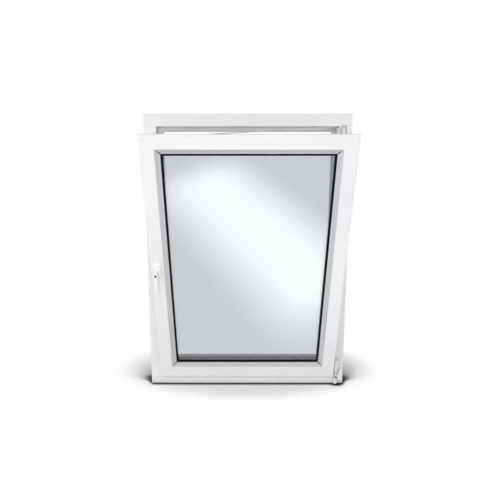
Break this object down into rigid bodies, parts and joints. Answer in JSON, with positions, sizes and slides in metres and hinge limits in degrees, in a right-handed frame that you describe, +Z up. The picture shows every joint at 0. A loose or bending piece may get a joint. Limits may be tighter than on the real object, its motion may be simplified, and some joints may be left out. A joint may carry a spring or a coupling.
{
  "type": "tilt and turn window",
  "caption": "Tilt-and-turn window: framed sash with double glazing, lever handle, rack gear, sliding rods, locking cams, tilt stay and corner hinges.",
  "frame": {"origin": "middle of the frame's underside, halfway through its depth", "axes": "+X to the right seen from the room, +Y outdoors, +Z up"},
  "size_m": [0.9, 0.388, 1.25],
  "materials": {
    "upvc_white": "extruded white uPVC, satin gloss",
    "bead_white": "extruded white uPVC, satin gloss",
    "gasket_black": "matt black EPDM",
    "seal_grey": "light grey EPDM",
    "glass_clear": "clear float glass",
    "spacer_grey": "mill finish",
    "galvanised": "galvanised sheet steel",
    "zinc_steel": "zinc plated steel",
    "strike_zinc": "bluish zinc die casting",
    "keeper_dark": "dark plated steel",
    "plastic_black": "moulded black plastic",
    "plastic_grey": "moulded grey plastic",
    "cover_white": "moulded light plastic",
    "handle_white": "white powder coat",
    "lock_dark": "dark nickel"
  },
  "bodies": {
    "frame": {"frame_sill": "upvc_white", "frame_head": "upvc_white", "frame_jamb_left": "upvc_white", "frame_jamb_right": "upvc_white", "frame_reinforcement": "galvanised", "frame_gasket": "seal_grey", "strike_plates": "strike_zinc", "tilt_keeper": "keeper_dark", "run_up_block": "plastic_black", "stay_bearing": "zinc_steel", "stay_bearing_pin": "zinc_steel", "stay_bearing_cover": "cover_white", "pivot_rest": "zinc_steel", "pivot_rest_packer": "plastic_grey", "pivot_rest_cover": "cover_white", "pivot_rest_cap": "cover_white"},
    "hinge_carrier": {"stay_band": "zinc_steel", "band_cover": "cover_white", "swivel_fork": "zinc_steel"},
    "stay": {"stay_arm": "zinc_steel", "stay_studs": "zinc_steel"},
    "sash": {"sash_rail_bottom": "upvc_white", "sash_rail_top": "upvc_white", "sash_stile_left": "upvc_white", "sash_stile_right": "upvc_white", "sash_reinforcement": "galvanised", "sash_gasket": "seal_grey", "bead_bottom": "bead_white", "bead_top": "bead_white", "bead_left": "bead_white", "bead_right": "bead_white", "glazing_gasket_inner": "gasket_black", "glazing_gasket_outer": "gasket_black", "glass_inner": "glass_clear", "glass_outer": "glass_clear", "glass_spacer": "spacer_grey", "setting_blocks": "plastic_black", "gear_case": "zinc_steel", "faceplates": "zinc_steel", "stay_guide": "zinc_steel", "corner_drives": "zinc_steel", "corner_band": "zinc_steel", "corner_band_cover": "cover_white", "tilt_pin": "zinc_steel", "sash_lifter": "plastic_grey", "handle_rose": "handle_white", "handle_screws": "zinc_steel", "rose_caps": "handle_white"},
    "handle": {"handle_lever": "handle_white", "handle_spindle": "zinc_steel", "drive_pinion": "zinc_steel"},
    "lock": {"lock_barrel": "lock_dark"},
    "rod_left": {"drive_rod_left": "zinc_steel", "cams_left": "zinc_steel"},
    "rod_top": {"drive_rod_top": "zinc_steel", "cams_top": "zinc_steel"},
    "rod_bottom": {"drive_rod_bottom": "zinc_steel", "cams_bottom": "zinc_steel"},
    "rod_right": {"drive_rod_right": "zinc_steel", "cams_right": "zinc_steel"}
  },
  "joints": [
    {"name": "sash_turn", "type": "hinge", "parent": "frame", "child": "hinge_carrier", "pos_m": [0.412, -0.0435, 0.045], "axis": [0, 0, 1], "range_deg": [0, 90]},
    {"name": "sash_tilt", "type": "hinge", "parent": "hinge_carrier", "child": "sash", "pos_m": [0.412, -0.0435, 0.045], "axis": [1, 0, 0], "range_deg": [-15, 0]},
    {"name": "stay_swing", "type": "hinge", "parent": "hinge_carrier", "child": "stay", "pos_m": [0.3845, -0.0239, 1.19134], "axis": [0, -0.1039, 0.9946], "range_deg": [-29.64, 0]},
    {"name": "handle_turn", "type": "hinge", "parent": "sash", "child": "handle", "pos_m": [-0.372, -0.20653, 0.60902], "axis": [0, -0.9659, -0.2588], "range_deg": [0, 180]},
    {"name": "lock_turn", "type": "hinge", "parent": "handle", "child": "lock", "pos_m": [-0.372, -0.25193, 0.59686], "axis": [0, -0.9659, -0.2588], "range_deg": [0, 90]},
    {"name": "rod_left_slide", "type": "slide", "parent": "sash", "child": "rod_left", "axis": [0, 0.2588, -0.9659], "range_m": [0, 0.02209]},
    {"name": "rod_top_slide", "type": "slide", "parent": "sash", "child": "rod_top", "axis": [-1, 0, 0], "range_m": [0, 0.02209]},
    {"name": "rod_bottom_slide", "type": "slide", "parent": "sash", "child": "rod_bottom", "axis": [1, 0, 0], "range_m": [0, 0.02209]},
    {"name": "rod_right_slide", "type": "slide", "parent": "sash", "child": "rod_right", "axis": [0, -0.2588, 0.9659], "range_m": [0, 0.02209]}
  ],
  "couplings": [
    {"joint": "stay_swing", "follows": "sash_tilt", "ratio": 1.9751},
    {"joint": "rod_left_slide", "follows": "handle_turn", "m_per_rad": 0.007},
    {"joint": "rod_top_slide", "follows": "handle_turn", "m_per_rad": 0.007},
    {"joint": "rod_bottom_slide", "follows": "handle_turn", "m_per_rad": 0.007},
    {"joint": "rod_right_slide", "follows": "handle_turn", "m_per_rad": 0.007}
  ]
}
